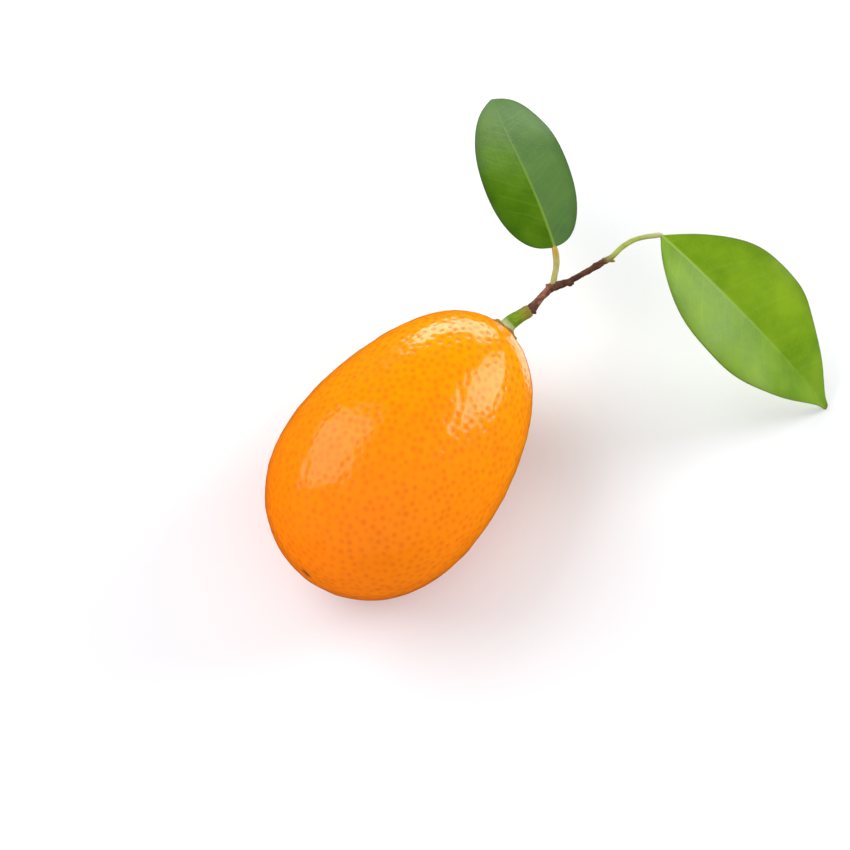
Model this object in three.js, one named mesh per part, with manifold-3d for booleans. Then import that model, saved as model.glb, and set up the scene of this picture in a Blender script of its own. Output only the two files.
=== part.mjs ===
// A kumquat picked with its twig: an oval citrus fruit lying on its side, a five-lobed calyx and a green
// stalk at its stem end, a short woody twig with buds, and two leathery leaves, each on a curved leaf stalk.
// Millimetres, +Z up. The origin is the middle of the small flat spot under the fruit, and +X runs along
// the fruit to its stem end. The tip of the drooping right leaf touches the same surface as the fruit.
import * as THREE from "three";
import { mergeVertices } from "three/addons/utils/BufferGeometryUtils.js";
import Module from "manifold-3d";

// Driving dimensions. A heading is a plan angle from +X, positive to the left, and a pitch is an angle
// above the horizontal, both in degrees. A route is a list of steps, each run on from the one before.
const fruit = {
  halfLength: 21.3,
  radius: 14.4,
  // How the round outline swells along the fruit: narrower to the stem end, and squarer at both ends.
  egg: -0.147,
  blunt: 0.09,
  shoulder: 0.046,
  // How far the stem end curves up out of the fruit's own axis, and how far the whole fruit is tipped up.
  stemLift: 1.8,
  tilt: 1,
  // The flat spot: its place as a share of the half length, behind the middle, and its depth.
  restPlace: -0.192,
  restDepth: 0.4,
  sides: 60,
  rings: 30,
};
const calyx = {
  radius: 1.85,
  lobes: 5,
  lobeShare: 0.1,
  // Heights above the fruit's stem end: the rim's two edges, and the top of the neck.
  rimLow: 0.15,
  rimHigh: 0.45,
  height: 1.2,
  neck: 1.08,
  rootDepth: 0.7,
  rightShift: 0.42,
  axis: { heading: -5, pitch: 11 },
};
const stalk = {
  radii: [1.0, 0.98, 0.9, 0.84, 0.86],
  route: [
    { length: 0.6, heading: -16, pitch: 13 },
    { length: 2.65, heading: -24.8, pitch: 13.9 },
  ],
};
const twig = {
  radii: [0.66, 0.56, 0.54, 0.6, 0.5, 0.44, 0.4, 0.4, 0.46],
  lower: { length: 3.84, heading: -9.6, pitch: 17.3 },
  upper: [
    { length: 2.6, heading: -35.6, pitch: 12.1 },
    { length: 5.8, heading: -25.7, pitch: 11.3 },
  ],
};
// Each knob on the twig: the corner of its route that it grows from, how far it stands off that corner,
// its direction, and its half width and half length.
const knobs = [
  { corner: 0, offset: 0.5, heading: -95, pitch: -15, across: 0.3, along: 0.42 },
  { corner: 1, offset: 0.52, heading: 87, pitch: 10, across: 0.24, along: 0.36 },
  { corner: 1, offset: 0.3, heading: 20, pitch: 22, across: 0.52, along: 0.4 },
  { corner: 2, offset: 0.26, heading: -115, pitch: -10, across: 0.44, along: 0.44 },
  { corner: 2, offset: 0.5, heading: -80, pitch: -8, across: 0.22, along: 0.3 },
  { corner: 3, offset: 0.28, heading: 118, pitch: 20, across: 0.24, along: 0.44 },
  { corner: 3, offset: 0.55, heading: -62, pitch: -4, across: 0.2, along: 0.6 },
];
const leftLeaf = {
  stalkRadii: [0.5, 0.42, 0.4, 0.42, 0.44],
  route: [
    { length: 1.3, heading: 25, pitch: 23 },
    { length: 2.1, heading: 27, pitch: 22.5 },
    { length: 2.0, heading: 44, pitch: 19 },
  ],
  chord: { length: 30.2, heading: 51.6, pitch: -14.9 },
  start: { heading: 53.8, pitch: 17 },
  end: { heading: 40.2, pitch: -34.7 },
  left: { halfWidth: 6.3, baseFullness: 0.403, tipFullness: 0.89 },
  right: { halfWidth: 5.87, baseFullness: 0.401, tipFullness: 0.512 },
  fold: 10,
  wave: 0.14,
  waves: 2.3,
};
const rightLeaf = {
  stalkRadii: [0.44, 0.36, 0.36, 0.35, 0.33, 0.36],
  route: [
    { length: 0.5, heading: -33, pitch: 27 },
    { length: 2.1, heading: -12, pitch: 15 },
    { length: 1.83, heading: -22, pitch: 5 },
    { length: 1.64, heading: -33, pitch: -6 },
    { length: 1.5, heading: -38, pitch: -12 },
    { length: 0.8, heading: -40, pitch: -18 },
  ],
  chord: { length: 35.25, heading: -86.7, pitch: -35.25 },
  start: { heading: -95.2, pitch: -10.6 },
  end: { heading: -79.8, pitch: -51.9 },
  left: { halfWidth: 8.7, baseFullness: 1.0, tipFullness: 1.26 },
  right: { halfWidth: 8.9, baseFullness: 0.9, tipFullness: 1.27 },
  fold: 18,
  wave: 0.22,
  waves: 3.4,
};
const blade = {
  thickness: 0.6,
  // A blade's ends are small blunt noses: their half width, how suddenly they round off, and the share
  // that is left of them at the very end.
  nose: 0.45,
  noseSharpness: 60,
  noseEnd: 0.02,
  // The edges curl down a little, and the rib stands proud of the underside, least at the tip.
  curl: 0.012,
  ribDepth: 0.45,
  ribWidth: 0.5,
  stations: 28,
  strips: 12,
};
const gap = 0.2;

const wasm = await Module();
wasm.setup();
const degrees = Math.PI / 180;

// Solids and geometries
function solidOf(geometry) {
  const bare = geometry.clone();
  bare.deleteAttribute("normal");
  bare.deleteAttribute("uv");
  const merged = mergeVertices(bare, 1e-4);
  return new wasm.Manifold(
    new wasm.Mesh({
      numProp: 3,
      vertProperties: merged.attributes.position.array,
      triVerts: new Uint32Array(merged.index.array),
    }),
  );
}

function geometryOf(solid) {
  const mesh = solid.getMesh();
  const geometry = new THREE.BufferGeometry();
  geometry.setAttribute("position", new THREE.BufferAttribute(mesh.vertProperties, 3));
  geometry.setIndex(new THREE.BufferAttribute(mesh.triVerts, 1));
  geometry.computeVertexNormals();
  return geometry;
}

function direction({ heading, pitch }) {
  const h = heading * degrees;
  const p = pitch * degrees;
  return new THREE.Vector3(Math.cos(h) * Math.cos(p), Math.sin(h) * Math.cos(p), Math.sin(p));
}

function stepFrom(point, toward, length) {
  return point.clone().addScaledVector(direction(toward), length);
}

function walk(start, route) {
  const points = [start];
  for (const step of route) {
    points.push(stepFrom(points.at(-1), step, step.length));
  }
  return points;
}

function valueAlong(values, share) {
  const place = share * (values.length - 1);
  const below = Math.min(Math.floor(place), values.length - 2);
  return THREE.MathUtils.lerp(values[below], values[below + 1], place - below);
}

// A round stem: a straight turned rod whose radius follows a list of values, bent along a curve.
function stemSolid(points, radii, steps, sides) {
  const curve = new THREE.CatmullRomCurve3(points, false, "centripetal");
  const frames = curve.computeFrenetFrames(steps, false);
  const profile = [new THREE.Vector2(0, 0)];
  for (let i = 0; i <= steps; i++) {
    profile.push(new THREE.Vector2(valueAlong(radii, i / steps), i));
  }
  profile.push(new THREE.Vector2(0, steps));
  const geometry = new THREE.LatheGeometry(profile, sides);
  const place = geometry.attributes.position;
  for (let k = 0; k < place.count; k++) {
    const step = Math.round(place.getY(k));
    const point = curve
      .getPointAt(step / steps)
      .addScaledVector(frames.normals[step], place.getZ(k))
      .addScaledVector(frames.binormals[step], place.getX(k));
    place.setXYZ(k, point.x, point.y, point.z);
  }
  return solidOf(geometry);
}

// Fruit: one solid oval, a little egg-shaped, with its stem end lifted, cut flat where it rests
const tilt = fruit.tilt * degrees;
const swell = (c) => 1 + fruit.egg * c + fruit.blunt * c ** 2 + fruit.shoulder * c ** 3;
const lift = (c) => fruit.stemLift * Math.max(c, 0) ** 2;

const restRadius = fruit.radius * Math.sqrt(1 - fruit.restPlace ** 2) * swell(fruit.restPlace);
const restPoint = new THREE.Vector3(fruit.halfLength * fruit.restPlace, 0, -restRadius);
const fruitCentre = restPoint.applyAxisAngle(new THREE.Vector3(0, -1, 0), tilt).negate();
fruitCentre.z -= fruit.restDepth;

function fruitSolid(grow) {
  const profile = [];
  for (let i = 0; i <= fruit.rings; i++) {
    const angle = Math.PI * (1 - i / fruit.rings);
    const c = Math.cos(angle);
    const radius = (fruit.radius + grow) * Math.sin(angle) * swell(c);
    profile.push(new THREE.Vector2(i % fruit.rings ? radius : 0, (fruit.halfLength + grow) * c));
  }
  const geometry = new THREE.LatheGeometry(profile, fruit.sides).rotateZ(-Math.PI / 2);
  const place = geometry.attributes.position;
  for (let k = 0; k < place.count; k++) {
    place.setZ(k, place.getZ(k) + lift(place.getX(k) / fruit.halfLength));
  }
  return solidOf(geometry.rotateY(-tilt).translate(...fruitCentre));
}
const floorSide = 4 * fruit.halfLength;
const floorBlock = new THREE.BoxGeometry(floorSide, floorSide, floorSide).translate(0, 0, -floorSide / 2);
const fruitBody = fruitSolid(0).subtract(solidOf(floorBlock));

// Calyx: a thin saucer with five shallow lobes and a short neck, seated on the stem end
const stemPole = new THREE.Vector3(fruit.halfLength, -calyx.rightShift, fruit.stemLift)
  .applyAxisAngle(new THREE.Vector3(0, -1, 0), tilt)
  .add(fruitCentre);
function calyxSolid() {
  const profile = [
    new THREE.Vector2(0, -calyx.rootDepth),
    new THREE.Vector2(calyx.radius * 0.85, -calyx.rootDepth),
    new THREE.Vector2(calyx.radius, calyx.rimLow),
    new THREE.Vector2(calyx.radius * 0.96, calyx.rimHigh),
    new THREE.Vector2(calyx.neck * 1.08, calyx.rimHigh + 0.15),
    new THREE.Vector2(calyx.neck * 0.95, calyx.height),
    new THREE.Vector2(0, calyx.height),
  ];
  const geometry = new THREE.LatheGeometry(profile, 8 * calyx.lobes);
  const place = geometry.attributes.position;
  for (let k = 0; k < place.count; k++) {
    const x = place.getX(k);
    const z = place.getZ(k);
    const outwards = THREE.MathUtils.smoothstep(Math.hypot(x, z), calyx.neck, calyx.radius);
    const lobe = 1 + outwards * calyx.lobeShare * Math.cos(calyx.lobes * Math.atan2(z, x));
    place.setX(k, x * lobe);
    place.setZ(k, z * lobe);
  }
  const turn = new THREE.Quaternion().setFromUnitVectors(THREE.Object3D.DEFAULT_UP, direction(calyx.axis));
  return solidOf(geometry.applyQuaternion(turn).translate(...stemPole));
}
const calyxBody = calyxSolid().subtract(fruitSolid(gap));

// Green stalk: thick and tapering, from the calyx's neck to the ring where the wood begins
const stalkPoints = walk(stepFrom(stemPole, calyx.axis, calyx.height + gap), stalk.route);
const stalkBody = stemSolid(stalkPoints, stalk.radii, 8, 16);

// Woody twig: two lengths that meet where the left leaf grows, with its buds and scars fused on
const twigFoot = stepFrom(stalkPoints.at(-1), twig.lower, gap);
const twigPoints = walk(twigFoot, [twig.lower, ...twig.upper]);
function knobSolid(knob, grow) {
  const turn = new THREE.Quaternion().setFromUnitVectors(THREE.Object3D.DEFAULT_UP, direction(knob));
  const centre = stepFrom(twigPoints[knob.corner], knob, knob.offset);
  const geometry = new THREE.SphereGeometry(1, 10, 8)
    .scale(knob.across + grow, knob.along + grow, knob.across + grow)
    .applyQuaternion(turn)
    .translate(...centre);
  return solidOf(geometry);
}
function twigSolid(grow) {
  const radii = twig.radii.map((radius) => radius + grow);
  const wood = stemSolid(twigPoints, radii, 20, 12);
  return knobs.reduce((joined, knob) => joined.add(knobSolid(knob, grow)), wood);
}
const twigBody = twigSolid(0);

// Leaf stalks: the left one grows from the fork, and the right one runs on from the twig's end
const grownTwig = twigSolid(gap);
function leafStalk(foot, leaf, steps) {
  const points = walk(foot, leaf.route);
  return { points, body: stemSolid(points, leaf.stalkRadii, steps, 12).subtract(grownTwig) };
}
const leftStalk = leafStalk(stepFrom(twigPoints[1], twig.upper[0], gap), leftLeaf, 12);
const rightStalk = leafStalk(stepFrom(twigPoints.at(-1), rightLeaf.route[0], gap), rightLeaf, 18);

// Leaf blades: a folded, gently waved sheet on an arched midrib, with the rib proud on its underside
function midribOf(base, leaf) {
  const tip = stepFrom(base, leaf.chord, leaf.chord.length);
  const reach = leaf.chord.length / 3;
  const leaving = stepFrom(base, leaf.start, reach);
  const arriving = stepFrom(tip, leaf.end, -reach);
  return new THREE.CubicBezierCurve3(base, leaving, arriving, tip);
}

function halfWidthAt(s, half) {
  const { halfWidth, baseFullness, tipFullness } = half;
  const outline = (t) => t ** baseFullness * (1 - t) ** tipFullness;
  const peak = baseFullness / (baseFullness + tipFullness);
  const rounding = 1 + blade.noseEnd - Math.abs(2 * s - 1) ** blade.noseSharpness;
  const nose = blade.nose * Math.sqrt(rounding);
  return Math.hypot((halfWidth * outline(s)) / outline(peak), nose);
}

function bladeSolid(base, leaf) {
  const { stations, strips } = blade;
  const midrib = midribOf(base, leaf);
  const positions = [];
  for (let i = 0; i <= stations; i++) {
    // Stations crowd towards both ends, where the outline turns fastest.
    const s = (1 - Math.cos((Math.PI * i) / stations)) / 2;
    const along = midrib.getTangentAt(s);
    const right = new THREE.Vector3(along.y, -along.x, 0).normalize();
    const up = new THREE.Vector3().crossVectors(right, along);
    for (let j = 0; j <= strips; j++) {
      const across = (2 * j) / strips - 1;
      const half = across < 0 ? leaf.left : leaf.right;
      const w = halfWidthAt(s, half) * Math.abs(across);
      const phase = 2 * Math.PI * leaf.waves * s + (across < 0 ? 2 : 0);
      const ripple = (leaf.wave * w * Math.abs(across) * Math.sin(phase)) / half.halfWidth;
      const rise = w * Math.tan(leaf.fold * degrees) - blade.curl * w * w + ripple;
      const rib = blade.ribDepth * (1 - s) * Math.exp(-((w / blade.ribWidth) ** 2));
      const onSheet = midrib
        .getPointAt(s)
        .addScaledVector(right, Math.sign(across) * w)
        .addScaledVector(up, rise);
      for (const face of [blade.thickness / 2, -blade.thickness / 2 - rib]) {
        positions.push(...onSheet.clone().addScaledVector(up, face));
      }
    }
  }
  const geometry = new THREE.BufferGeometry();
  geometry.setAttribute("position", new THREE.Float32BufferAttribute(positions, 3));
  geometry.setIndex(bladeFaces(stations, strips));
  return solidOf(geometry);
}

// Two triangles for each cell of the upper and the under face, split alike, and a band round the edge.
function bladeFaces(stations, strips) {
  const upper = (i, j) => (i * (strips + 1) + j) * 2;
  const under = (i, j) => upper(i, j) + 1;
  const indices = [];
  const quad = (a, b, c, d) => indices.push(a, b, c, a, c, d);
  for (let i = 0; i < stations; i++) {
    for (let j = 0; j < strips; j++) {
      quad(upper(i, j), upper(i, j + 1), upper(i + 1, j + 1), upper(i + 1, j));
      quad(under(i + 1, j + 1), under(i, j + 1), under(i, j), under(i + 1, j));
    }
    quad(under(i, 0), upper(i, 0), upper(i + 1, 0), under(i + 1, 0));
    quad(upper(i, strips), under(i, strips), under(i + 1, strips), upper(i + 1, strips));
  }
  for (let j = 0; j < strips; j++) {
    quad(upper(0, j), under(0, j), under(0, j + 1), upper(0, j + 1));
    quad(upper(stations, j), upper(stations, j + 1), under(stations, j + 1), under(stations, j));
  }
  return indices;
}
const bladeBase = (points, leaf) => stepFrom(points.at(-1), leaf.start, gap);
const leftBladeBody = bladeSolid(bladeBase(leftStalk.points, leftLeaf), leftLeaf);
const rightBladeBody = bladeSolid(bladeBase(rightStalk.points, rightLeaf), rightLeaf);

// Materials
const finish = (color, roughness) => new THREE.MeshStandardMaterial({ color, roughness, metalness: 0 });
const rind = finish("#ff9d0a", 0.35);
const calyxGreen = finish("#a9ad4a", 0.6);
const stalkGreen = finish("#6f9a1c", 0.5);
const bark = finish("#7a4a35", 0.8);
const leafStalkGreen = finish("#a8b54a", 0.5);
const leftLeafGreen = finish("#4c7f22", 0.4);
const rightLeafGreen = finish("#7fae22", 0.4);

const kumquat = new THREE.Group();
function addNode(name, solid, material) {
  const mesh = new THREE.Mesh(geometryOf(solid), material);
  mesh.name = name;
  kumquat.add(mesh);
}
addNode("fruit", fruitBody, rind);
addNode("calyx", calyxBody, calyxGreen);
addNode("fruit_stalk", stalkBody, stalkGreen);
addNode("twig", twigBody, bark);
addNode("left_leaf_stalk", leftStalk.body, leafStalkGreen);
addNode("left_leaf_blade", leftBladeBody, leftLeafGreen);
addNode("right_leaf_stalk", rightStalk.body, leafStalkGreen);
addNode("right_leaf_blade", rightBladeBody, rightLeafGreen);

export default kumquat;
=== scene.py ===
# A kumquat picked with its twig and two leaves, lying on a white table. It is built in metres, in the frame of
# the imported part.
import math
import random

import bpy
import numpy as np
from mathutils import Matrix, Vector, kdtree, noise


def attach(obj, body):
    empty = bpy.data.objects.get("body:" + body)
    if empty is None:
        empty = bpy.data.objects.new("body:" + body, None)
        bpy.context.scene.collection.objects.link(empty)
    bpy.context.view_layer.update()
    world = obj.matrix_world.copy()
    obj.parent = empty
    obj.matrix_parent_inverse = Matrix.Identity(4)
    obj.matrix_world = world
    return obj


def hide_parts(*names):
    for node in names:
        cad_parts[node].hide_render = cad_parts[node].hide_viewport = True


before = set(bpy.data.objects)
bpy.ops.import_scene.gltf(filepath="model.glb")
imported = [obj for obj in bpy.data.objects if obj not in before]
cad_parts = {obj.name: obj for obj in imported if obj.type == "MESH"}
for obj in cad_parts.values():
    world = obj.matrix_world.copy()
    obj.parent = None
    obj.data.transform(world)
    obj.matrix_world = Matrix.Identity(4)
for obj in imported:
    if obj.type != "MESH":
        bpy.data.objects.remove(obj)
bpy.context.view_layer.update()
bpy.ops.object.select_all(action="DESELECT")
MM = 0.001

# The fruit: one oval citrus fruit, grown in one piece, narrower to its stem end and lying on a small flat spot.
# Its thin waxy rind is full of sunken oil glands, each a darker dot in a shallow dimple, and the flower's style
# has left a small brown scar at the far end.
FRUIT_HALF_LENGTH, FRUIT_RADIUS = 21.3 * MM, 14.4 * MM
FRUIT_EGG, FRUIT_BLUNT, FRUIT_SHOULDER = -0.147, 0.09, 0.046
STEM_LIFT, FRUIT_TILT = 1.8 * MM, math.radians(1)
REST_PLACE, REST_DEPTH = -0.192, 0.4 * MM
FRUIT_CUTS = 127
PORE_SPACING, PORE_DEPTH = 0.92 * MM, 0.09 * MM
PORE_SEED, PORE_TRIES = 7, 60000
PORE_STRENGTHS, PORE_WIDTHS = (0.5, 1), (0.25, 0.34)
PORE_DOT_SPREAD = 1.3
SWELL_HEIGHT, SWELL_SCALE = 0.07 * MM, 430
SCAR_RADIUS, SCAR_DEPTH = 0.75 * MM, 0.22 * MM
FLOOR_BLEND = 0.02 * MM


def fruit_swell(c):
    """How much wider than a plain oval the fruit is at a share c of its half length."""
    return 1 + FRUIT_EGG * c + FRUIT_BLUNT * c**2 + FRUIT_SHOULDER * c**3


fruit_tip_up = Matrix.Rotation(-FRUIT_TILT, 3, "Y")
rest_radius = FRUIT_RADIUS * math.sqrt(1 - REST_PLACE**2) * fruit_swell(REST_PLACE)
fruit_centre = -(fruit_tip_up @ Vector((FRUIT_HALF_LENGTH * REST_PLACE, 0, -rest_radius)))
fruit_centre.z -= REST_DEPTH


def on_fruit(unit):
    """The places on the rind that the points of a unit ball go to."""
    c = unit[:, 0]
    width = FRUIT_RADIUS * fruit_swell(c)
    lift = STEM_LIFT * np.maximum(c, 0) ** 2
    plain = np.stack([FRUIT_HALF_LENGTH * c, width * unit[:, 1], width * unit[:, 2] + lift], axis=1)
    return plain @ np.array(fruit_tip_up).T + np.array(fruit_centre)


def corners_of(piece):
    """A mesh's vertices as an array of points."""
    flat = np.empty(len(piece.data.vertices) * 3)
    piece.data.vertices.foreach_get("co", flat)
    return flat.reshape(-1, 3)


def set_corners(piece, points):
    """Moves a mesh's vertices to the given points."""
    piece.data.vertices.foreach_set("co", np.ascontiguousarray(points, dtype=np.float64).ravel())
    piece.data.update()


def paint(piece, name, values):
    """Keeps one number for each vertex, for the material to read."""
    layer = piece.data.attributes.new(name, "FLOAT", "POINT")
    layer.data.foreach_set("value", np.ascontiguousarray(values, dtype=np.float32))


def noise_at(points, scale, shift=0.0):
    """Soft noise between about -1 and 1 at each point."""
    offset = Vector((shift, shift * 1.7, -shift))
    return np.array([noise.noise(Vector(p) * scale + offset) for p in points])


def scattered_pores(spacing, seed):
    """Oil glands thrown on the rind at random, none nearer to another than the spacing."""
    rng = random.Random(seed)
    cells, kept = {}, []
    for _ in range(PORE_TRIES):
        z = rng.uniform(-1, 1)
        turn = rng.uniform(0, 2 * math.pi)
        ring = math.sqrt(1 - z * z)
        unit = np.array([[z, ring * math.cos(turn), ring * math.sin(turn)]])
        place = on_fruit(unit)[0]
        cell = tuple(int(math.floor(value / spacing)) for value in place)
        near = [
            other
            for i in (-1, 0, 1)
            for j in (-1, 0, 1)
            for k in (-1, 0, 1)
            for other in cells.get((cell[0] + i, cell[1] + j, cell[2] + k), ())
        ]
        if all(math.dist(place, other) > spacing for other in near):
            cells.setdefault(cell, []).append(tuple(place))
            kept.append((Vector(place), rng.uniform(*PORE_STRENGTHS), rng.uniform(*PORE_WIDTHS) * MM))
    return kept


bpy.ops.mesh.primitive_cube_add(size=2)
fruit = bpy.context.object
fruit.name = "rind_of_fruit"
bpy.ops.object.mode_set(mode="EDIT")
bpy.ops.mesh.subdivide(number_cuts=FRUIT_CUTS)
bpy.ops.object.mode_set(mode="OBJECT")
ball = np.tan(corners_of(fruit) * math.pi / 4)
ball /= np.linalg.norm(ball, axis=1)[:, None]
skin = on_fruit(ball)
outward = skin - np.array(fruit_centre)
outward /= np.linalg.norm(outward, axis=1)[:, None]

pores = scattered_pores(PORE_SPACING, PORE_SEED)
pore_tree = kdtree.KDTree(len(pores))
for index, (place, _, _) in enumerate(pores):
    pore_tree.insert(place, index)
pore_tree.balance()
pore_mask = np.zeros(len(skin))
dimple = np.zeros(len(skin))
for index, place in enumerate(skin):
    _, found, distance = pore_tree.find(place)
    _, strength, width = pores[found]
    dimple[index] = strength * math.exp(-((distance / width) ** 2))
    pore_mask[index] = strength * math.exp(-((distance / (PORE_DOT_SPREAD * width)) ** 3))
from_scar = np.linalg.norm(skin - on_fruit(np.array([[-1.0, 0, 0]])), axis=1)
scar = np.exp(-((from_scar / SCAR_RADIUS) ** 4))
relief = SWELL_HEIGHT * noise_at(skin, SWELL_SCALE) + 0.5 * SWELL_HEIGHT * noise_at(skin, 2 * SWELL_SCALE, 5)
relief -= PORE_DEPTH * dimple + SCAR_DEPTH * scar
skin += outward * relief[:, None]
# Nothing hangs below the table: the flat spot runs softly into the round of the rind.
skin[:, 2] = 0.5 * (skin[:, 2] + np.sqrt(skin[:, 2] ** 2 + FLOOR_BLEND**2)) - 0.25 * FLOOR_BLEND
skin[:, 2] = np.maximum(skin[:, 2], 0)
set_corners(fruit, skin)
paint(fruit, "pore", pore_mask)
paint(fruit, "scar", scar)
bpy.ops.object.shade_smooth()


def add_node(tree, kind, values=None, **settings):
    """A shader node with its settings, and the value or source of each input that is named."""
    made = tree.nodes.new("ShaderNode" + kind)
    for key, value in settings.items():
        setattr(made, key, value)
    for key, value in (values or {}).items():
        if isinstance(value, bpy.types.NodeSocket):
            tree.links.new(value, made.inputs[key])
        else:
            made.inputs[key].default_value = value
    return made


def colour_mix(tree, mask, under, over):
    """The over colour laid on the under colour where the mask is 1."""
    # A Mix node's sockets for colours are numbers 6 and 7, and its colour comes out of number 2.
    return add_node(tree, "Mix", {0: mask, 6: under, 7: over}, data_type="RGBA").outputs[2]


def mapped(tree, value, from_low, from_high, to_low, to_high):
    """A value moved from one range to another, held at both ends."""
    limits = {"From Min": from_low, "From Max": from_high, "To Min": to_low, "To Max": to_high}
    return add_node(tree, "MapRange", {"Value": value, **limits}).outputs["Result"]


def attribute(tree, name):
    """The number painted on each vertex under this name."""
    return add_node(tree, "Attribute", attribute_name=name).outputs["Fac"]


def new_material(name, constants):
    """A material with one Principled shader that has these constants, its node tree and the shader itself."""
    material = bpy.data.materials.new(name)
    material.use_nodes = True
    shader = material.node_tree.nodes["Principled BSDF"]
    for key, value in constants.items():
        shader.inputs[key].default_value = value
    return material, material.node_tree, shader


# Living tissue is never of one even colour: a group that gives soft patches and fine specks over a surface,
# which the rind, the green stalks, the bark and the leaves all use, each at its own size.
tissue = bpy.data.node_groups.new("plant_tissue", "ShaderNodeTree")
tissue.interface.new_socket("Patch Scale", in_out="INPUT", socket_type="NodeSocketFloat")
tissue.interface.new_socket("Speck Scale", in_out="INPUT", socket_type="NodeSocketFloat")
tissue.interface.new_socket("Patches", in_out="OUTPUT", socket_type="NodeSocketFloat")
tissue.interface.new_socket("Specks", in_out="OUTPUT", socket_type="NodeSocketFloat")
group_in = tissue.nodes.new("NodeGroupInput")
group_out = tissue.nodes.new("NodeGroupOutput")
place_socket = add_node(tissue, "TexCoord").outputs["Object"]
# Each pattern: its output, its scale, its detail and roughness, and the range of the noise that it stretches.
TISSUE_PATTERNS = [
    ("Patches", "Patch Scale", 3.0, 0.55, 0.32, 0.68),
    ("Specks", "Speck Scale", 2.0, 0.5, 0.3, 0.7),
]
for output, scale, detail, roughness, low, high in TISSUE_PATTERNS:
    values = {"Vector": place_socket, "Scale": group_in.outputs[scale], "Detail": detail, "Roughness": roughness}
    pattern = add_node(tissue, "TexNoise", values).outputs["Fac"]
    tissue.links.new(mapped(tissue, pattern, low, high, 0, 1), group_out.inputs[output])


def tissue_in(tree, patch_scale, speck_scale):
    """The plant tissue group at its own two scales, as its outputs."""
    made = tree.nodes.new("ShaderNodeGroup")
    made.node_tree = tissue
    made.inputs["Patch Scale"].default_value = patch_scale
    made.inputs["Speck Scale"].default_value = speck_scale
    return made.outputs


def bumped(tree, shader, height, distance, strength=1.0):
    """Raises a surface by a height that goes from 0 to 1."""
    bump = add_node(tree, "Bump", {"Height": height, "Distance": distance, "Strength": strength})
    tree.links.new(bump.outputs["Normal"], shader.inputs["Normal"])


RIND_YELLOW = (1.0, 0.34, 0.0, 1)
RIND_ORANGE = (0.98, 0.215, 0.0, 1)
# Deep orange for painted shade on the rind's underside.
RIND_PAINTED_SHADE = (0.66, 0.09, 0.0, 1)
RIND_PORE = (0.80, 0.125, 0.0, 1)
RIND_SCAR = (0.2, 0.075, 0.018, 1)
RIND_CONSTANTS = {
    "IOR": 1.45, "Specular IOR Level": 0.42, "Specular Tint": (1.0, 0.84, 0.6, 1),
    "Subsurface Weight": 0.12, "Subsurface Radius": (1.0, 0.35, 0.08), "Subsurface Scale": 1.2 * MM,
}
rind, tree, shader = new_material("waxy_rind", RIND_CONSTANTS)
patches = tissue_in(tree, 110, 2600)
in_fruit = add_node(tree, "SeparateXYZ", {"Vector": add_node(tree, "TexCoord").outputs["Object"]})
# Yellower towards the stem end and deeper orange towards the far end: partly the fruit's own ripening, partly
# painted light on the stem end.
ripeness_and_painted_light = mapped(tree, in_fruit.outputs["X"], -0.016, 0.022, 0, 1)
rind_colour = colour_mix(tree, ripeness_and_painted_light, RIND_ORANGE, RIND_YELLOW)
rind_colour = colour_mix(tree, mapped(tree, patches["Patches"], 0, 1, 0, 0.4), rind_colour, RIND_ORANGE)
# Painted shade: the rind is laid deep orange towards its underside, near the table, as if it lay in shadow
# there.
painted_low_side_shade = mapped(tree, in_fruit.outputs["Z"], 0.002, 0.0125, 0.85, 0)
rind_colour = colour_mix(tree, painted_low_side_shade, rind_colour, RIND_PAINTED_SHADE)
pore_share = mapped(tree, attribute(tree, "pore"), 0, 1, 0, 0.66)
rind_colour = colour_mix(tree, pore_share, rind_colour, RIND_PORE)
rind_colour = colour_mix(tree, attribute(tree, "scar"), rind_colour, RIND_SCAR)
tree.links.new(rind_colour, shader.inputs["Base Color"])
wax_gloss = mapped(tree, patches["Patches"], 0, 1, 0.12, 0.19)
pore_gloss = mapped(tree, attribute(tree, "pore"), 0, 1, 0, 0.05)
rind_roughness = add_node(tree, "Math", {0: wax_gloss, 1: pore_gloss}, operation="ADD").outputs[0]
tree.links.new(rind_roughness, shader.inputs["Roughness"])
bumped(tree, shader, patches["Specks"], 0.012 * MM, 0.6)
fruit.data.materials.append(rind)
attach(fruit, "root")
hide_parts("fruit")

# The calyx: the flower's five green sepals, dried into a thin lobed saucer that sits on the rind with a brown
# edge, and a short pale neck in its middle where the stalk joins it.
CALYX_PLACE = fruit_tip_up @ Vector((FRUIT_HALF_LENGTH, -0.42 * MM, STEM_LIFT)) + fruit_centre
CALYX_HEADING, CALYX_PITCH = -5, 11
CALYX_HEIGHT, CALYX_NECK, CALYX_FLANGE = 1.2, 1.08, 1.85
CALYX_LOBES, CALYX_LOBE_SHARE = 5, 0.08
CALYX_OLIVE, CALYX_PALE, CALYX_BROWN = (0.36, 0.36, 0.10, 1), (0.54, 0.52, 0.27, 1), (0.22, 0.15, 0.025, 1)
BROWN_FROM, BROWN_WIDTH = 1.84, 0.1
# Each ring of the saucer from its foot up: its radius and its height over the stem end, in millimetres.
CALYX_RINGS = [
    (0.7, -0.6), (1.4, -0.6), (1.66, -0.3), (1.84, 0.06), (1.96, 0.2), (2.0, 0.36), (1.95, 0.5),
    (1.8, 0.57), (1.52, 0.55), (1.32, 0.59), (1.2, 0.68), (1.12, 0.82), (1.06, 0.98), (1.02, 1.13),
    (1.0, 1.3), (0.8, 1.42),
]


def heading_to(heading, pitch):
    """The direction at a plan angle from +X and an angle over the horizontal, in degrees."""
    h, p = math.radians(heading), math.radians(pitch)
    return Vector((math.cos(h) * math.cos(p), math.sin(h) * math.cos(p), math.sin(p)))


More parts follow.
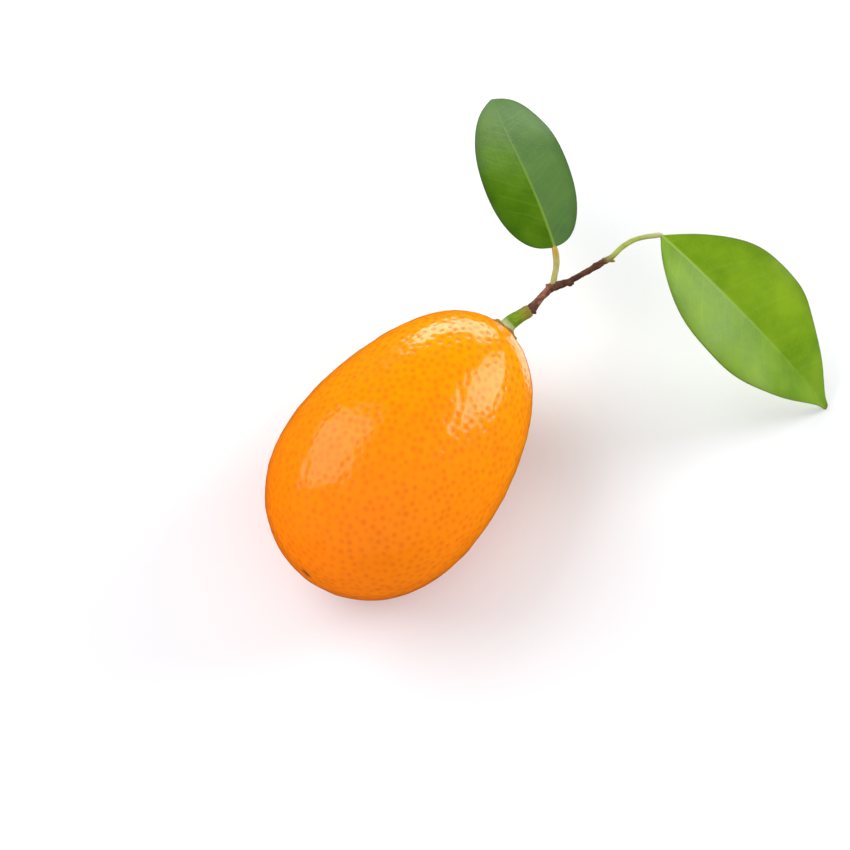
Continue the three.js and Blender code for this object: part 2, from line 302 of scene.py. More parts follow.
bpy.ops.mesh.primitive_circle_add(vertices=120, radius=CALYX_RINGS[0][0] * MM, fill_type="NGON")
calyx = bpy.context.object
calyx.name = "calyx_saucer"
bpy.ops.object.mode_set(mode="EDIT")
bpy.ops.transform.translate(value=(0, 0, CALYX_RINGS[0][1] * MM))
bpy.ops.mesh.flip_normals()
bpy.ops.mesh.select_mode(type="EDGE")
for (before, below), (radius, height) in zip(CALYX_RINGS, CALYX_RINGS[1:]):
    bpy.ops.mesh.extrude_region_move(TRANSFORM_OT_translate={"value": (0, 0, (height - below) * MM)})
    bpy.ops.transform.resize(value=(radius / before, radius / before, 1), center_override=(0, 0, 0))
bpy.ops.object.mode_set(mode="OBJECT")
rim = corners_of(calyx)
away = np.hypot(rim[:, 0], rim[:, 1]) / MM
turn = np.arctan2(rim[:, 1], rim[:, 0])
outwards = np.clip((away - CALYX_NECK) / (CALYX_FLANGE - CALYX_NECK), 0, 1)
outwards = outwards**2 * (3 - 2 * outwards)
lobes = np.cos(CALYX_LOBES * turn)
uneven = noise_at(np.stack([np.cos(turn), np.sin(turn), 0 * turn], axis=1), 1.7)
rim[:, :2] *= (1 + outwards * (CALYX_LOBE_SHARE * lobes + 0.05 * uneven))[:, None]
rim[:, 2] += outwards * (0.1 * lobes + 0.06 * uneven) * MM
upright = Vector((0, 0, 1)).rotation_difference(heading_to(CALYX_HEADING, CALYX_PITCH)).to_matrix()
rim = rim @ np.array(upright).T + np.array(CALYX_PLACE)
set_corners(calyx, rim)
paint(calyx, "brown_edge", np.clip((away - BROWN_FROM) / BROWN_WIDTH, 0, 1))
bpy.ops.object.shade_smooth()
calyx_stuff, tree, shader = new_material("dried_calyx", {"Specular IOR Level": 0.3})
patches = tissue_in(tree, 900, 5200)
calyx_colour = colour_mix(tree, patches["Patches"], CALYX_OLIVE, CALYX_PALE)
uneven_brown = mapped(tree, patches["Specks"], 0, 1, 0.55, 1)
browned = add_node(tree, "Math", {0: attribute(tree, "brown_edge"), 1: uneven_brown}, operation="MULTIPLY")
calyx_colour = colour_mix(tree, browned.outputs[0], calyx_colour, CALYX_BROWN)
tree.links.new(calyx_colour, shader.inputs["Base Color"])
tree.links.new(mapped(tree, patches["Specks"], 0, 1, 0.5, 0.75), shader.inputs["Roughness"])
bumped(tree, shader, patches["Specks"], 0.02 * MM)
calyx.data.materials.append(calyx_stuff)
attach(calyx, "root")
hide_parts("calyx")

# The fruit's own stalk: a thick green pedicel, faintly ribbed along its length, that widens into the calyx and
# ends at the brown ring where the wood begins.
STALK_ROUTE = [(0.6, -16, 13), (2.65, -24.8, 13.9)]
STALK_RADII = [1.06, 1.0, 0.97, 0.93, 0.9, 0.86, 0.84, 0.87, 0.8]
STALK_DEEP, STALK_LIGHT = (0.10, 0.21, 0.001, 1), (0.22, 0.33, 0.003, 1)
STALK_PALE_FOOT, STALK_OLIVE_END = (0.46, 0.48, 0.20, 1), (0.25, 0.18, 0.02, 1)
# How far past the end of one stem the next one starts, in millimetres.
STEM_STEP = 0.2


def walk(start, route):
    """A line of points from a start, one for each step of a length in millimetres, a heading and a pitch."""
    points = [Vector(start)]
    for length, heading, pitch in route:
        points.append(points[-1] + heading_to(heading, pitch) * length * MM)
    return points


def smooth_line(points, count):
    """Points evenly spaced on a curve through the given ones, with a centripetal step at each."""
    ends = [2 * points[0] - points[1], *points, 2 * points[-1] - points[-2]]
    fine = []
    for a, b, c, d in zip(ends, ends[1:], ends[2:], ends[3:]):
        t0 = 0.0
        t1 = t0 + math.sqrt((b - a).length)
        t2 = t1 + math.sqrt((c - b).length)
        t3 = t2 + math.sqrt((d - c).length)
        for k in range(40):
            t = t1 + (t2 - t1) * k / 40
            ab = (t1 - t) / (t1 - t0) * a + (t - t0) / (t1 - t0) * b
            bc = (t2 - t) / (t2 - t1) * b + (t - t1) / (t2 - t1) * c
            cd = (t3 - t) / (t3 - t2) * c + (t - t2) / (t3 - t2) * d
            abc = (t2 - t) / (t2 - t0) * ab + (t - t0) / (t2 - t0) * bc
            bcd = (t3 - t) / (t3 - t1) * bc + (t - t1) / (t3 - t1) * cd
            fine.append((t2 - t) / (t2 - t1) * abc + (t - t1) / (t2 - t1) * bcd)
    fine.append(points[-1])
    steps = np.concatenate([[0], np.cumsum([(b - a).length for a, b in zip(fine, fine[1:])])])
    wanted = np.linspace(0, steps[-1], count)
    coordinates = np.array([tuple(p) for p in fine])
    return np.stack([np.interp(wanted, steps, coordinates[:, axis]) for axis in range(3)], axis=1)


def grown_stem(name, line, radii, around, shape):
    """A closed stem along a line of points, extruded ring by ring. From a point's turn round the ring and its
    share of the length, shape gives how far it stands from the middle, as a share of the radius."""
    count = len(line)
    bpy.ops.object.select_all(action="DESELECT")
    bpy.ops.mesh.primitive_circle_add(vertices=around, radius=1 * MM, fill_type="TRIFAN")
    stem = bpy.context.object
    stem.name = name
    bpy.ops.object.mode_set(mode="EDIT")
    bpy.ops.mesh.flip_normals()
    for _ in range(count - 1):
        bpy.ops.mesh.extrude_region_move(TRANSFORM_OT_translate={"value": (0, 0, 1 * MM)})
    bpy.ops.object.mode_set(mode="OBJECT")
    points = corners_of(stem)
    ring = np.rint(points[:, 2] / MM).astype(int)
    along = np.gradient(line, axis=0)
    along /= np.linalg.norm(along, axis=1)[:, None]
    side = np.cross(along, (0, 0, 1.0))
    side /= np.linalg.norm(side, axis=1)[:, None]
    top = np.cross(side, along)
    turn = np.arctan2(points[:, 1], points[:, 0])
    share = ring / (count - 1)
    radius = np.interp(share, np.linspace(0, 1, len(radii)), radii) * MM
    radius *= np.hypot(points[:, 0], points[:, 1]) / MM
    radius *= shape(turn, share)
    sideways = side[ring] * (radius * np.cos(turn))[:, None]
    upwards = top[ring] * (radius * np.sin(turn))[:, None]
    set_corners(stem, line[ring] + sideways + upwards)
    bpy.ops.object.mode_set(mode="EDIT")
    bpy.ops.mesh.select_all(action="SELECT")
    bpy.ops.mesh.normals_make_consistent(inside=False)
    bpy.ops.object.mode_set(mode="OBJECT")
    bpy.ops.object.shade_smooth()
    paint(stem, "share", share)
    return stem


def stalk_ribs(turn, share):
    """Faint ribs along the stalk, and slow swellings of its width."""
    ribs = 1 + 0.025 * np.sin(9 * turn + 2 * share) + 0.015 * np.sin(17 * turn - 3 * share)
    return ribs + 0.02 * np.sin(9 * share)


calyx_axis = heading_to(CALYX_HEADING, CALYX_PITCH)
stalk_points = walk(CALYX_PLACE + calyx_axis * (CALYX_HEIGHT + STEM_STEP) * MM, STALK_ROUTE)
stalk_line = smooth_line([CALYX_PLACE + calyx_axis * 1.0 * MM, *stalk_points], 60)
stalk = grown_stem("green_fruit_stalk", stalk_line, STALK_RADII, 72, stalk_ribs)
STALK_CONSTANTS = {
    "Specular IOR Level": 0.3,
    "Subsurface Weight": 0.1, "Subsurface Radius": (0.4, 0.8, 0.1), "Subsurface Scale": 0.5 * MM,
}
stalk_stuff, tree, shader = new_material("green_stalk", STALK_CONSTANTS)
patches = tissue_in(tree, 1200, 4500)
stalk_colour = colour_mix(tree, patches["Patches"], STALK_DEEP, STALK_LIGHT)
pale_foot = mapped(tree, attribute(tree, "share"), 0.04, 0.17, 0.8, 0)
stalk_colour = colour_mix(tree, pale_foot, stalk_colour, STALK_PALE_FOOT)
olive_end = mapped(tree, attribute(tree, "share"), 0.5, 0.95, 0, 0.95)
stalk_colour = colour_mix(tree, olive_end, stalk_colour, STALK_OLIVE_END)
tree.links.new(stalk_colour, shader.inputs["Base Color"])
tree.links.new(mapped(tree, patches["Specks"], 0, 1, 0.36, 0.5), shader.inputs["Roughness"])
bumped(tree, shader, patches["Specks"], 0.015 * MM)
stalk.data.materials.append(stalk_stuff)
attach(stalk, "root")
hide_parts("fruit_stalk")

# The twig: a short crooked length of year-old wood, with thin red-brown bark, dark flecks, scars and buds at its
# joints, and a few small spikes at its end. Its knobs are fused into the wood.
TWIG_LOWER = (3.84, -9.6, 17.3)
TWIG_UPPER = [(2.6, -35.6, 12.1), (5.8, -25.7, 11.3)]
TWIG_RADII = [0.72, 0.6, 0.54, 0.52, 0.54, 0.6, 0.53, 0.46, 0.43, 0.4, 0.39, 0.4, 0.42, 0.46, 0.44]
TWIG_VOXEL = 0.055 * MM
LOWER_BARK_DARK, LOWER_BARK_LIGHT = (0.10, 0.03, 0.013, 1), (0.33, 0.145, 0.09, 1)
UPPER_BARK_DARK, UPPER_BARK_LIGHT = (0.035, 0.011, 0.004, 1), (0.13, 0.046, 0.016, 1)
BARK_FOOT, BARK_FLECK, BARK_TIP = (0.05, 0.018, 0.008, 1), (0.03, 0.014, 0.009, 1), (0.32, 0.24, 0.05, 1)
# Each knob: the corner of the twig that it grows from, how far it stands off it, its heading and pitch, and
# its half width and half length, in millimetres and degrees.
TWIG_KNOBS = [
    (0, 0.5, -95, -15, 0.3, 0.42),
    (0, 0.35, 80, 20, 0.34, 0.3),
    (1, 0.52, 87, 10, 0.24, 0.36),
    (1, 0.3, 20, 22, 0.52, 0.4),
    (2, 0.26, -115, -10, 0.44, 0.44),
    (2, 0.5, -80, -8, 0.22, 0.3),
    (3, 0.28, 118, 20, 0.24, 0.44),
    (3, 0.55, -62, -4, 0.2, 0.6),
]


def twig_grain(turn, share):
    """Fine ridges along the bark and slow swellings of the wood under it."""
    ridges = 0.03 * np.sin(7 * turn + 9 * share) + 0.02 * np.sin(13 * turn - 14 * share + 1)
    return 1 + ridges + 0.03 * np.sin(31 * share) + 0.02 * np.sin(57 * share + 2 * turn)


twig_foot = stalk_points[-1] + heading_to(*TWIG_LOWER[1:]) * STEM_STEP * MM
twig_points = walk(twig_foot, [TWIG_LOWER, *TWIG_UPPER])
twig_line = smooth_line([stalk_points[-1] - heading_to(*TWIG_LOWER[1:]) * 0.12 * MM, *twig_points[1:]], 120)
twig = grown_stem("woody_twig", twig_line, TWIG_RADII, 36, twig_grain)
knobs = []
for corner, offset, heading, pitch, across, along in TWIG_KNOBS:
    direction = heading_to(heading, pitch)
    bpy.ops.mesh.primitive_uv_sphere_add(segments=20, ring_count=14, radius=1)
    knob = bpy.context.object
    turned = Vector((0, 0, 1)).rotation_difference(direction).to_matrix()
    points = corners_of(knob) * np.array((across, across, along)) * MM
    set_corners(knob, points @ np.array(turned).T + np.array(twig_points[corner] + direction * offset * MM))
    knobs.append(knob)
bpy.ops.object.select_all(action="DESELECT")
for piece in (twig, *knobs):
    piece.select_set(True)
bpy.context.view_layer.objects.active = twig
bpy.ops.object.join()
remesh = twig.modifiers.new("fused", "REMESH")
remesh.mode = "VOXEL"
remesh.voxel_size = TWIG_VOXEL
bpy.ops.object.modifier_apply(modifier="fused")
softened = twig.modifiers.new("softened", "SMOOTH")
softened.iterations = 4
bpy.ops.object.modifier_apply(modifier="softened")
twig_skin = corners_of(twig)
twig_normals = np.empty(len(twig_skin) * 3)
twig.data.vertices.foreach_get("normal", twig_normals)
bark_relief = 0.09 * MM * noise_at(twig_skin, 1500) + 0.05 * MM * noise_at(twig_skin, 4200, 3)
set_corners(twig, twig_skin + twig_normals.reshape(-1, 3) * bark_relief[:, None])
twig_axis = twig_points[-1] - twig_points[0]
twig_share = (twig_skin - np.array(twig_points[0])) @ np.array(twig_axis) / twig_axis.length_squared
# The fused mesh may keep the share that its wood was grown with, and the knobs need it too.
if "share" in twig.data.attributes:
    twig.data.attributes.remove(twig.data.attributes["share"])
paint(twig, "share", twig_share)
bpy.ops.object.shade_smooth()
bark, tree, shader = new_material("twig_bark", {"Specular IOR Level": 0.25})
patches = tissue_in(tree, 1300, 4600)
lower_bark = colour_mix(tree, patches["Patches"], LOWER_BARK_DARK, LOWER_BARK_LIGHT)
dark_foot = mapped(tree, attribute(tree, "share"), 0.02, 0.1, 0.75, 0)
lower_bark = colour_mix(tree, dark_foot, lower_bark, BARK_FOOT)
upper_bark = colour_mix(tree, patches["Patches"], UPPER_BARK_DARK, UPPER_BARK_LIGHT)
upper_part = mapped(tree, attribute(tree, "share"), 0.25, 0.45, 0, 1)
bark_colour = colour_mix(tree, upper_part, lower_bark, upper_bark)
flecks = mapped(tree, patches["Specks"], 0.0, 0.35, 0.75, 0)
bark_colour = colour_mix(tree, flecks, bark_colour, BARK_FLECK)
green_tip = mapped(tree, attribute(tree, "share"), 0.955, 1.02, 0, 0.75)
bark_colour = colour_mix(tree, green_tip, bark_colour, BARK_TIP)
tree.links.new(bark_colour, shader.inputs["Base Color"])
tree.links.new(mapped(tree, patches["Patches"], 0, 1, 0.55, 0.8), shader.inputs["Roughness"])
bumped(tree, shader, patches["Specks"], 0.03 * MM)
twig.data.materials.append(bark)
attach(twig, "root")
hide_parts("twig")

# The leaf stalks: smooth, slim and yellow-green, with a shallow groove along the upper side. The left one rises
# from the twig's fork, the right one runs on from its end in an arch, and each ends in a small knuckle.
LEFT_ROUTE = [(1.3, 25, 23), (2.1, 27, 22.5), (2.0, 44, 19)]
LEFT_STALK_RADII = [0.5, 0.43, 0.41, 0.4, 0.41, 0.43, 0.45, 0.4, 0.14]
LEFT_LEAF_START = (53.8, 17)
RIGHT_ROUTE = [
    (0.5, -33, 27), (2.1, -12, 15), (1.83, -22, 5), (1.64, -33, -6), (1.5, -38, -12), (0.8, -40, -18),
]
RIGHT_STALK_RADII = [0.46, 0.38, 0.36, 0.36, 0.355, 0.35, 0.34, 0.33, 0.34, 0.37, 0.33, 0.14]
RIGHT_LEAF_START = (-95.2, -10.6)
STALK_INTO_WOOD, STALK_INTO_LEAF, STALK_DROP = 0.35, 0.8, 0.22
STALK_FOOT_BROWN = (0.16, 0.10, 0.03, 1)


def grooved(turn, share):
    """A shallow groove along the top of a leaf stalk, which fades before the knuckle."""
    groove = np.exp(-(((turn - math.pi / 2) / 0.45) ** 2)) * np.clip((0.9 - share) / 0.15, 0, 1)
    return 1 - 0.16 * groove + 0.01 * np.sin(5 * turn + 8 * share)


def leaf_stalk(name, foot, route, leaf_start, radii):
    """One leaf stalk, from inside the wood to inside its leaf, and the place where the blade begins."""
    points = walk(foot, route)
    into_wood = points[0] - heading_to(*route[0][1:]) * STALK_INTO_WOOD * MM
    into_leaf = points[-1] + heading_to(*leaf_start) * STALK_INTO_LEAF * MM
    into_leaf.z -= STALK_DROP * MM
    line = smooth_line([into_wood, *points[1:], into_leaf], 90)
    stem = grown_stem(name, line, radii, 40, grooved)
    return stem, points[-1] + heading_to(*leaf_start) * STEM_STEP * MM


left_foot = twig_points[1] + heading_to(*TWIG_UPPER[0][1:]) * STEM_STEP * MM
right_foot = twig_points[-1] + heading_to(*RIGHT_ROUTE[0][1:]) * STEM_STEP * MM
left_stalk, left_base = leaf_stalk("left_leaf_stem", left_foot, LEFT_ROUTE, LEFT_LEAF_START, LEFT_STALK_RADII)
right_stalk, right_base = leaf_stalk(
    "right_leaf_stem", right_foot, RIGHT_ROUTE, RIGHT_LEAF_START, RIGHT_STALK_RADII
)
STALK_SKIN_CONSTANTS = {
    "Subsurface Weight": 0.15, "Subsurface Radius": (0.6, 0.8, 0.15), "Subsurface Scale": 0.5 * MM,
}
# Each stalk's two greens and the colour of its top end, which is golden on the left and pale on the right.
STALK_LOOKS = {
    left_stalk: ((0.33, 0.30, 0.06, 1), (0.44, 0.41, 0.15, 1), (0.46, 0.25, 0.004, 1), "left_leaf_stalk"),
    right_stalk: ((0.26, 0.31, 0.02, 1), (0.38, 0.42, 0.08, 1), (0.42, 0.41, 0.17, 1), "right_leaf_stalk"),
}
for stem, (deep, light, top_end, node_name) in STALK_LOOKS.items():
    stem_stuff, tree, shader = new_material(stem.name + "_skin", STALK_SKIN_CONSTANTS)
    patches = tissue_in(tree, 1100, 4800)
    stem_colour = colour_mix(tree, patches["Patches"], deep, light)
    at_top = mapped(tree, attribute(tree, "share"), 0.5, 0.95, 0, 0.9)
    stem_colour = colour_mix(tree, at_top, stem_colour, top_end)
    at_foot = mapped(tree, attribute(tree, "share"), 0.03, 0.16, 0.8, 0)
    stem_colour = colour_mix(tree, at_foot, stem_colour, STALK_FOOT_BROWN)
    tree.links.new(stem_colour, shader.inputs["Base Color"])
    tree.links.new(mapped(tree, patches["Specks"], 0, 1, 0.34, 0.48), shader.inputs["Roughness"])
    bumped(tree, shader, patches["Specks"], 0.012 * MM)
    stem.data.materials.append(stem_stuff)
    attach(stem, "root")
    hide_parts(node_name)

# The leaf blades: thin leathery sheets, folded a little along the midrib and gently waved. They are deep green
# above and paler below, where the midrib and the side veins stand proud, and they thin out to their edges.
BLADE_FOLD_CURL = 0.012
BLADE_NOSE, BLUNT_TIP, NOSE_SHARPNESS, NOSE_END = 0.45, 0.16, 60, 0.02
BLADE_MIDDLE, BLADE_EDGE = 0.34, 0.16
RIB_DEPTH, RIB_WIDTH = 0.45, 0.5
VEIN_WIDTH, VEIN_SUNK, VEIN_PROUD = 0.14, 0.012, 0.05
QUILT_HEIGHT, QUILT_FINE_HEIGHT = 0.03, 0.008
EDGE_LINE, EDGE_LINE_WIDTH = 0.955, 0.045
EDGE_SHADE, EDGE_SHADE_WIDTH = 0.65, 0.35
BLADE_ALONG, BLADE_ACROSS = 260, 120
# A pale grey-green for painted sheen on the leaves, and the brown of a dried leaf tip.
LEAF_PAINTED_SHEEN, LEAF_DRIED = (0.13, 0.22, 0.12, 1), (0.13, 0.10, 0.02, 1)
# Each leaf: the length, heading and pitch from its foot to its tip, the headings and pitches that its midrib
# starts and ends with, the width and fullness of its halves, its fold in degrees, its waves and its veins.
LEFT_LEAF = {
    "chord": (30.2, 51.6, -14.9), "start": LEFT_LEAF_START, "end": (40.2, -34.7),
    "left": (6.3, 0.403, 0.89), "right": (5.87, 0.401, 0.512),
    "fold": 10, "wave": 0.14, "waves": 2.3, "veins": 19, "seed": 3,
}
RIGHT_LEAF = {
    "chord": (35.25, -86.7, -35.25), "start": RIGHT_LEAF_START, "end": (-79.8, -51.9),
    "left": (8.7, 1.0, 1.26), "right": (8.9, 0.9, 1.27),
    "fold": 18, "wave": 0.22, "waves": 3.4, "veins": 18, "seed": 8,
}


def half_width(s, half):
    """The width of one half of a blade, in millimetres, at a share s of its length."""
    width, base_fullness, tip_fullness = half
    peak = base_fullness / (base_fullness + tip_fullness)
    outline = s**base_fullness * (1 - s) ** tip_fullness
    widest = peak**base_fullness * (1 - peak) ** tip_fullness
    nose = (BLADE_NOSE + BLUNT_TIP * s**12) * np.sqrt(1 + NOSE_END - np.abs(2 * s - 1) ** NOSE_SHARPNESS)
    return np.hypot(width * outline / widest, nose)


def midrib_line(base, leaf):
    """Points along a blade's midrib, dense enough to read off, and the share of its length at each."""
    length, heading, pitch = leaf["chord"]
    tip = base + heading_to(heading, pitch) * length * MM
    reach = length / 3 * MM
    handles = [base, base + heading_to(*leaf["start"]) * reach, tip - heading_to(*leaf["end"]) * reach, tip]
    p = np.array([tuple(h) for h in handles])
    t = np.linspace(0, 1, 801)[:, None]
    line = (1 - t) ** 3 * p[0] + 3 * (1 - t) ** 2 * t * p[1] + 3 * (1 - t) * t**2 * p[2] + t**3 * p[3]
    steps = np.concatenate([[0], np.cumsum(np.linalg.norm(np.diff(line, axis=0), axis=1))])
    return line, steps / steps[-1]


def side_veins(s, w, half_widths, leaf, side):
    """How near each point of a blade is to one of its side veins, from 0 to 1. The veins leave the midrib at
    a steep angle and bend towards the tip before they reach the edge."""
    rng = random.Random(leaf["seed"] + side)
    across = w / np.maximum(half_widths, 0.01)
    length = leaf["chord"][0]
    mask = np.zeros(len(s))
    for vein in range(leaf["veins"]):
        foot = (vein + 0.6 + rng.uniform(-0.3, 0.3)) / leaf["veins"]
        slope = rng.uniform(0.45, 0.66)
        waver = rng.uniform(0.1, 0.25) * np.sin(across * rng.uniform(3, 7) + rng.uniform(0, 6))
        route = foot + (slope * w + 0.7 * across**3 + waver) / length
        distance = np.abs(s - route) * length * 0.85
        fade = np.clip((0.93 - across) / 0.35, 0, 1) * rng.uniform(0.35, 1)
        mask = np.maximum(mask, np.exp(-((distance / VEIN_WIDTH) ** 2)) * fade)
    return mask


def leaf_blade(name, base, leaf):
    """One blade: a grid laid along the midrib, given its thickness, its raised ribs and its veins."""
    bpy.ops.object.select_all(action="DESELECT")
    bpy.ops.mesh.primitive_grid_add(x_subdivisions=BLADE_ALONG, y_subdivisions=BLADE_ACROSS, size=2)
    blade = bpy.context.object
    blade.name = name
    grid = corners_of(blade)
    # The rows of the grid stand closer together at both ends, where the outline turns fastest.
    s = np.clip((1 - np.cos(math.pi * (grid[:, 0] + 1) / 2)) / 2, 0, 1)
    s = 0.55 * s + 0.45 * (grid[:, 0] + 1) / 2
    across = grid[:, 1]
    side = np.sign(across)
    widths = np.where(across < 0, half_width(s, leaf["left"]), half_width(s, leaf["right"]))
    w = widths * np.abs(across)
    full = np.where(across < 0, leaf["left"][0], leaf["right"][0])
    wave_turn = 2 * math.pi * leaf["waves"] * s + np.where(across < 0, 2, 0)
    ripple = leaf["wave"] * w * np.abs(across) * np.sin(wave_turn)
    rise = w * math.tan(math.radians(leaf["fold"])) - BLADE_FOLD_CURL * w**2 + ripple / full
    line, lengths = midrib_line(base, leaf)
    on_rib = np.stack([np.interp(s, lengths, line[:, axis]) for axis in range(3)], axis=1)
    slopes = np.gradient(line, lengths, axis=0)
    along = np.stack([np.interp(s, lengths, slopes[:, axis]) for axis in range(3)], axis=1)
    along /= np.linalg.norm(along, axis=1)[:, None]
    right = np.stack([along[:, 1], -along[:, 0], 0 * s], axis=1)
    right /= np.linalg.norm(right, axis=1)[:, None]
    up = np.cross(right, along)
    sheet = on_rib + (right * (side * w)[:, None] + up * rise[:, None]) * MM
    veins = np.maximum(
        np.where(across < 0, side_veins(s, w, widths, leaf, 1), 0),
        np.where(across >= 0, side_veins(s, w, widths, leaf, 2), 0),
    )
    rib = np.exp(-((w / 0.24) ** 2)) * (1 - 0.8 * s)
    edge = np.clip((np.abs(across) - EDGE_LINE) / EDGE_LINE_WIDTH, 0, 1)
    edge = np.maximum(edge, 0.5 * np.clip((np.abs(across) - EDGE_SHADE) / EDGE_SHADE_WIDTH, 0, 1) ** 2)
    thick = BLADE_EDGE + (BLADE_MIDDLE - BLADE_EDGE) * (1 - np.abs(across) ** 10)
    quilt = QUILT_HEIGHT * noise_at(np.stack([s * 11, across * 4, 0 * s], axis=1), 1.0, leaf["seed"])
    fine_quilt = noise_at(np.stack([s * 40, across * 12, 0 * s], axis=1), 1.0, leaf["seed"])
    quilt += QUILT_FINE_HEIGHT * fine_quilt
    above = thick / 2 - VEIN_SUNK * veins + 0.05 * rib + quilt
    below = -thick / 2 - VEIN_PROUD * veins + quilt
    below -= RIB_DEPTH * (1 - s) * np.exp(-((w / RIB_WIDTH) ** 2)) * 0.8 + 0.1 * np.exp(-((w / 0.35) ** 2))
    upper = sheet + up * (above * MM)[:, None]
    under = sheet + up * (below * MM)[:, None]
    set_corners(blade, upper)
    thickness = blade.modifiers.new("thickness", "SOLIDIFY")
    thickness.thickness = 0.1 * MM
    thickness.offset = -1
    bpy.ops.object.modifier_apply(modifier="thickness")
    # The modifier keeps the sheet's own vertices first and adds those of its other face after them.
    set_corners(blade, np.concatenate([upper, under]))
    bpy.ops.object.mode_set(mode="EDIT")
    bpy.ops.mesh.select_all(action="SELECT")
    bpy.ops.mesh.normals_make_consistent(inside=False)
    bpy.ops.object.mode_set(mode="OBJECT")
    paint(blade, "underside", np.repeat([0.0, 1.0], len(upper)))
    rib_line = np.exp(-((w / (0.19 - 0.1 * s)) ** 4)) * np.clip(1.1 - 1.2 * s, 0.08, 1)
    for key, values in (("vein", veins), ("rib", rib_line), ("edge", edge), ("share", s)):
        paint(blade, key, np.concatenate([values, values]))
    paint(blade, "half", np.concatenate([side, side]) * 0.5 + 0.5)
    bpy.ops.object.shade_smooth()
    return blade


left_blade = leaf_blade("left_leaf_sheet", left_base, LEFT_LEAF)
right_blade = leaf_blade("right_leaf_sheet", right_base, RIGHT_LEAF)
# Each leaf's colours, its shine, and from 0 to 1 how much painted grey-green sheen lies on its right half and
# near its tip, and how brown its tip has dried.
LEAF_LOOKS = {
    left_blade: {
        "deep": (0.04, 0.11, 0.0005, 1), "light": (0.078, 0.17, 0.002, 1), "ribs": (0.20, 0.31, 0.05, 1),
        "under": (0.20, 0.30, 0.09, 1), "edge": (0.018, 0.045, 0.006, 1),
        "shine": 0.08, "painted_sheen": 0.32, "dried": 0.0, "node": "left_leaf_blade", "slot": "left_leaf_green",
    },
    right_blade: {
        "deep": (0.13, 0.265, 0.001, 1), "light": (0.22, 0.37, 0.004, 1), "ribs": (0.33, 0.46, 0.08, 1),
        "under": (0.28, 0.40, 0.12, 1), "edge": (0.09, 0.15, 0.01, 1),
        "shine": 0.18, "painted_sheen": 0.1, "dried": 0.75, "node": "right_leaf_blade", "slot": "right_leaf_green",
    },
}
for blade, looks in LEAF_LOOKS.items():
    leaf_constants = {
        "Specular IOR Level": looks["shine"],
        "Subsurface Weight": 0.25, "Subsurface Radius": (0.5, 1.0, 0.1), "Subsurface Scale": 0.35 * MM,
    }
    leaf_stuff, tree, shader = new_material(blade.name + "_skin", leaf_constants)
    patches = tissue_in(tree, 190, 3600)
    leaf_colour = colour_mix(tree, patches["Patches"], looks["deep"], looks["light"])
    speckled = mapped(tree, patches["Specks"], 0.25, 0.9, 0, 0.28)
    leaf_colour = colour_mix(tree, speckled, leaf_colour, looks["light"])
    # Painted sheen: a pale grey-green laid on the blade's right half and near its tip, where the leaf would
    # mirror the soft boxes.
    sheen_on_right_half = mapped(tree, attribute(tree, "half"), 0.3, 0.7, 0, looks["painted_sheen"])
    sheen_near_tip = mapped(tree, attribute(tree, "share"), 0.7, 0.95, 0, looks["painted_sheen"])
    painted_sheen_share = add_node(tree, "Math", {0: sheen_on_right_half, 1: sheen_near_tip}, operation="MAXIMUM").outputs[0]
    leaf_colour = colour_mix(tree, painted_sheen_share, leaf_colour, LEAF_PAINTED_SHEEN)
    faint_veins = mapped(tree, attribute(tree, "vein"), 0, 1, 0, 0.13)
    leaf_colour = colour_mix(tree, faint_veins, leaf_colour, looks["ribs"])
    dark_edge = mapped(tree, attribute(tree, "edge"), 0, 1, 0, 0.85)
    leaf_colour = colour_mix(tree, dark_edge, leaf_colour, looks["edge"])
    clear_veins = mapped(tree, attribute(tree, "vein"), 0, 1, 0, 0.6)
    under_colour = colour_mix(tree, clear_veins, looks["under"], looks["ribs"])
    leaf_colour = colour_mix(tree, attribute(tree, "underside"), leaf_colour, under_colour)
    midrib = mapped(tree, attribute(tree, "rib"), 0, 1, 0, 0.7)
    leaf_colour = colour_mix(tree, midrib, leaf_colour, looks["ribs"])
    dry_tip = mapped(tree, attribute(tree, "share"), 0.975, 0.998, 0, looks["dried"])
    leaf_colour = colour_mix(tree, dry_tip, leaf_colour, LEAF_DRIED)
    tree.links.new(leaf_colour, shader.inputs["Base Color"])
    upper_gloss = mapped(tree, patches["Patches"], 0, 1, 0.32, 0.42)
    duller_under = mapped(tree, attribute(tree, "underside"), 0, 1, 0, 0.3)
    gloss = add_node(tree, "Math", {0: upper_gloss, 1: duller_under}, operation="ADD").outputs[0]
    tree.links.new(gloss, shader.inputs["Roughness"])
    bumped(tree, shader, patches["Specks"], 0.012 * MM)
    blade.data.materials.append(leaf_stuff)
    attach(blade, "root")
    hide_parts(looks["node"])

# The table and the light of a small white studio: a plain pale floor, a white sky that is brighter on the near
# side, and three soft boxes, low beyond the fruit, to its right and up to its left, which the rind mirrors. The
# table isn't mirrored, so that the rind keeps its colour, and a small bright card lights the rind's low rim.
bpy.ops.mesh.primitive_plane_add(size=6)
table_top = bpy.context.object
table_top.name = "white_table"
PAPER_CONSTANTS = {"Base Color": (0.86, 0.86, 0.87, 1), "Roughness": 0.9, "Specular IOR Level": 0.2}
table_top.data.materials.append(new_material("matt_white_paper", PAPER_CONSTANTS)[0])
table_top.visible_glossy = False

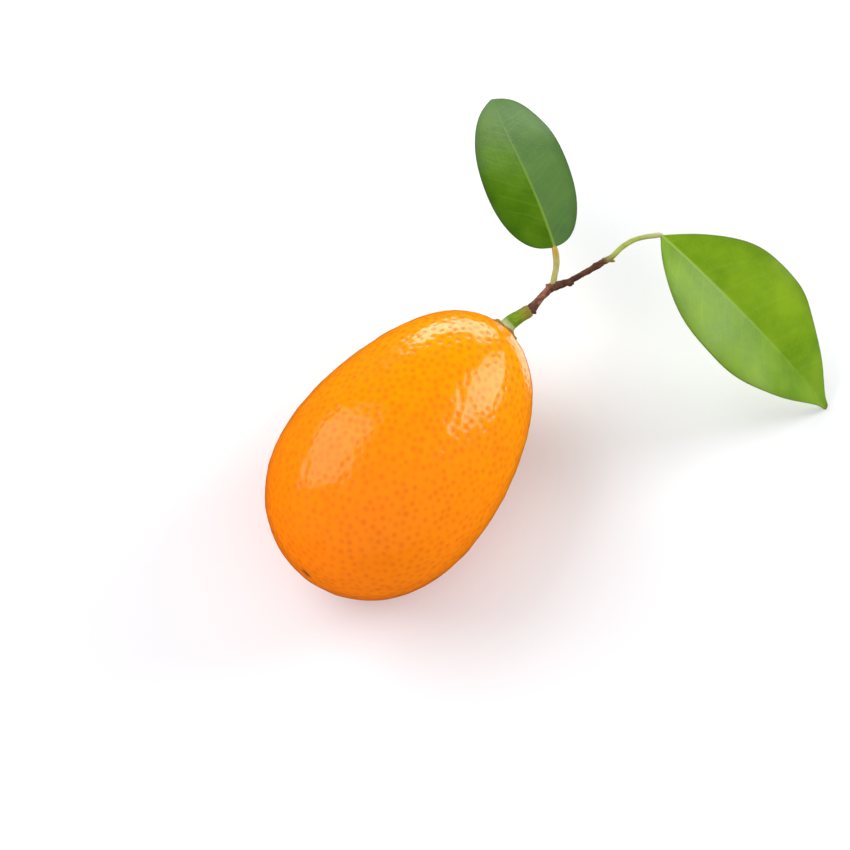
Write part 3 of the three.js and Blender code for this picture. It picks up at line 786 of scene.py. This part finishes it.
# The directions of the sky's bright side and of the card, and the share of the sky that glossy surfaces mirror.
SKY_BRIGHT_SIDE, LOW_CARD = (-0.72, -0.54, 0.42), (0.8, -0.05, -0.6)
SKY_MIRRORED = 0.45
world = bpy.data.worlds.new("white_room")
bpy.context.scene.world = world
world.use_nodes = True
tree = world.node_tree
sky = tree.nodes["Background"]
sky_place = add_node(tree, "TexCoord").outputs["Generated"]
near_side = add_node(tree, "VectorMath", {0: sky_place, 1: SKY_BRIGHT_SIDE}, operation="DOT_PRODUCT")
sky_light = mapped(tree, near_side.outputs["Value"], -0.3, 0.95, 0.2, 1.08)
sky_height = add_node(tree, "SeparateXYZ", {"Vector": sky_place}).outputs["Z"]
above_table = mapped(tree, sky_height, -0.15, 0.05, 0.2, 1)
sky_light = add_node(tree, "Math", {0: sky_light, 1: above_table}, operation="MULTIPLY").outputs[0]
mirrored = mapped(tree, add_node(tree, "LightPath").outputs["Is Glossy Ray"], 0, 1, 1, SKY_MIRRORED)
sky_light = add_node(tree, "Math", {0: sky_light, 1: mirrored}, operation="MULTIPLY").outputs[0]
low_card = add_node(tree, "VectorMath", {0: sky_place, 1: LOW_CARD}, operation="DOT_PRODUCT")
card_light = mapped(tree, low_card.outputs["Value"], 0.96, 0.985, 0, 1.8)
sky_light = add_node(tree, "Math", {0: sky_light, 1: card_light}, operation="ADD").outputs[0]
tree.links.new(sky_light, sky.inputs["Strength"])
sky.inputs["Color"].default_value = (0.97, 0.98, 1.0, 1)

# Each soft box: its name, the direction that it stands in, its distance, width, height and power.
SOFT_BOXES = [
    ("box_beyond", (0.90, 0.43, 0.10), 0.5, 0.42, 0.16, 1.5),
    ("box_right", (0.787, -0.466, 0.404), 0.55, 0.26, 0.32, 1.8),
    ("box_left", (-0.175, 0.73, 0.66), 0.55, 0.52, 0.5, 2.6),
]
for name, towards, distance, width, height, power in SOFT_BOXES:
    lamp = bpy.data.lights.new(name, "AREA")
    lamp.shape = "RECTANGLE"
    lamp.size, lamp.size_y = width, height
    lamp.energy = power
    lamp.color = (0.96, 0.98, 1.0)
    holder = bpy.data.objects.new(name, lamp)
    bpy.context.scene.collection.objects.link(holder)
    direction = Vector(towards).normalized()
    holder.location = fruit_centre + direction * distance
    holder.rotation_euler = direction.to_track_quat("Z", "Y").to_euler()

# The camera: a long lens, high above the near side of the fruit, as in the photograph.
CAMERA_PLACE = Vector((-97.25, -78.62, 297.33)) * MM
CAMERA_ELEVATION, CAMERA_HEADING = math.radians(65), math.radians(53.3)
lens = bpy.data.cameras.new("long_lens")
lens.lens = 100
lens.sensor_width = 36
lens.clip_start = 0.01
camera = bpy.data.objects.new("long_lens", lens)
bpy.context.scene.collection.objects.link(camera)
camera.location = CAMERA_PLACE
flat_forward = Vector((math.sin(CAMERA_HEADING), math.cos(CAMERA_HEADING), 0))
forward = flat_forward * math.cos(CAMERA_ELEVATION) - Vector((0, 0, math.sin(CAMERA_ELEVATION)))
camera.rotation_euler = forward.to_track_quat("-Z", "Y").to_euler()
bpy.context.scene.camera = camera
bpy.context.scene.view_settings.view_transform = "Standard"
